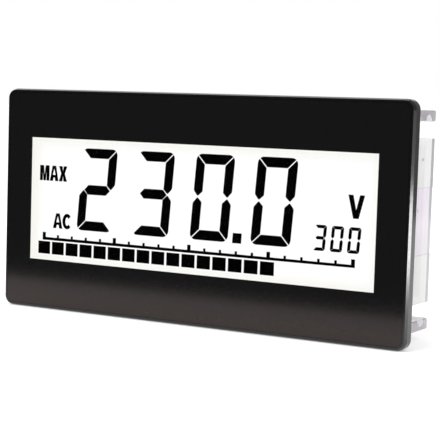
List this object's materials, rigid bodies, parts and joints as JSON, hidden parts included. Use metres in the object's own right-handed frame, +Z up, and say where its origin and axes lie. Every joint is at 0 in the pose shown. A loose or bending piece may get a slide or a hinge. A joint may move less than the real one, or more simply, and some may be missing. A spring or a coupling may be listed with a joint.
{
  "type": "digital panel meter",
  "caption": "Slim rectangular panel meter with a wide LCD window, a clear rear case with clip grooves, and rising-clamp screw terminals at the back.",
  "frame": {"origin": "middle of the panel's front surface behind the bezel, at the rear face of the gasket", "axes": "+X to the right seen from the front, +Z up, +Y backwards through the panel; the display faces -Y"},
  "size_m": [0.072, 0.0158, 0.036],
  "materials": {
    "bezel_black": "moulded black polycarbonate, fine gloss",
    "fascia_print": "reverse-printed black film with a clear window",
    "gasket_foam": "closed-cell black foam",
    "case_clear": "clear polycarbonate with a faint lilac tint",
    "cover_clear": "clear polycarbonate with a faint lilac tint",
    "label_film": "satin polyester label",
    "polariser_film": "polarising film",
    "cell_glass": "thin display glass",
    "white_film": "white optical film",
    "guide_acrylic": "clear acrylic",
    "tray_white": "white moulded plastic",
    "contact_elastomer": "banded silicone elastomer",
    "lamp_board": "white-masked circuit board",
    "lamp_body": "white lamp with yellow phosphor",
    "board_green": "green solder mask on glass-epoxy",
    "screw_steel": "zinc-plated steel",
    "chip_black": "black epoxy package with tinned legs",
    "can_metal": "drawn metal can",
    "resistor_blue": "lacquered blue body with tinned end caps",
    "chip_resistor": "black glaze with tinned ends",
    "chip_ceramic": "tan ceramic with tinned ends",
    "can_aluminium": "plain aluminium can on a black base",
    "ferrite": "shielded ferrite",
    "varistor_blue": "blue epoxy",
    "terminal_green": "green moulded polyamide",
    "contact_tin": "tinned brass",
    "clamp_steel": "zinc-plated steel"
  },
  "bodies": {
    "meter": {"front_bezel": "bezel_black", "front_fascia": "fascia_print", "panel_gasket": "gasket_foam", "rear_case": "case_clear", "rear_cover": "cover_clear", "rear_label": "label_film", "front_polariser": "polariser_film", "lcd_front_glass": "cell_glass", "lcd_rear_glass": "cell_glass", "rear_polariser": "white_film", "diffuser_film": "white_film", "light_guide": "guide_acrylic", "reflector_film": "white_film", "display_frame": "tray_white", "contact_strip_top": "contact_elastomer", "contact_strip_bottom": "contact_elastomer", "backlight_boards": "lamp_board", "backlight_leds": "lamp_body", "main_board": "board_green", "board_screws": "screw_steel", "microcontroller": "chip_black", "memory_chip": "chip_black", "crystal": "can_metal", "divider_resistors": "resistor_blue", "chip_resistors": "chip_resistor", "chip_capacitors": "chip_ceramic", "supply_capacitors": "can_aluminium", "supply_inductor": "ferrite", "bridge_rectifier": "chip_black", "surge_varistor": "varistor_blue", "input_terminal_body": "terminal_green", "supply_terminal_body": "terminal_green", "terminal_contacts": "contact_tin"},
    "screw_1": {"terminal_screw_1": "screw_steel"},
    "clamp_1": {"wire_clamp_1": "clamp_steel"},
    "screw_2": {"terminal_screw_2": "screw_steel"},
    "clamp_2": {"wire_clamp_2": "clamp_steel"},
    "screw_3": {"terminal_screw_3": "screw_steel"},
    "clamp_3": {"wire_clamp_3": "clamp_steel"},
    "screw_4": {"terminal_screw_4": "screw_steel"},
    "clamp_4": {"wire_clamp_4": "clamp_steel"}
  },
  "joints": [
    {"name": "screw_1_turn", "type": "hinge", "parent": "meter", "child": "screw_1", "pos_m": [0.01346, 0.0125, -0.0117], "axis": [0, -1, 0], "range_deg": [0, 1280]},
    {"name": "clamp_1_lift", "type": "slide", "parent": "meter", "child": "clamp_1", "axis": [0, 1, 0], "range_m": [0, 0.0016]},
    {"name": "screw_2_turn", "type": "hinge", "parent": "meter", "child": "screw_2", "pos_m": [0.01854, 0.0125, -0.0117], "axis": [0, -1, 0], "range_deg": [0, 1280]},
    {"name": "clamp_2_lift", "type": "slide", "parent": "meter", "child": "clamp_2", "axis": [0, 1, 0], "range_m": [0, 0.0016]},
    {"name": "screw_3_turn", "type": "hinge", "parent": "meter", "child": "screw_3", "pos_m": [-0.01854, 0.0125, -0.0117], "axis": [0, -1, 0], "range_deg": [0, 1280]},
    {"name": "clamp_3_lift", "type": "slide", "parent": "meter", "child": "clamp_3", "axis": [0, 1, 0], "range_m": [0, 0.0016]},
    {"name": "screw_4_turn", "type": "hinge", "parent": "meter", "child": "screw_4", "pos_m": [-0.01346, 0.0125, -0.0117], "axis": [0, -1, 0], "range_deg": [0, 1280]},
    {"name": "clamp_4_lift", "type": "slide", "parent": "meter", "child": "clamp_4", "axis": [0, 1, 0], "range_m": [0, 0.0016]}
  ],
  "couplings": [
    {"joint": "screw_1_turn", "follows": "clamp_1_lift", "rad_per_m": 13960},
    {"joint": "screw_2_turn", "follows": "clamp_2_lift", "rad_per_m": 13960},
    {"joint": "screw_3_turn", "follows": "clamp_3_lift", "rad_per_m": 13960},
    {"joint": "screw_4_turn", "follows": "clamp_4_lift", "rad_per_m": 13960}
  ]
}
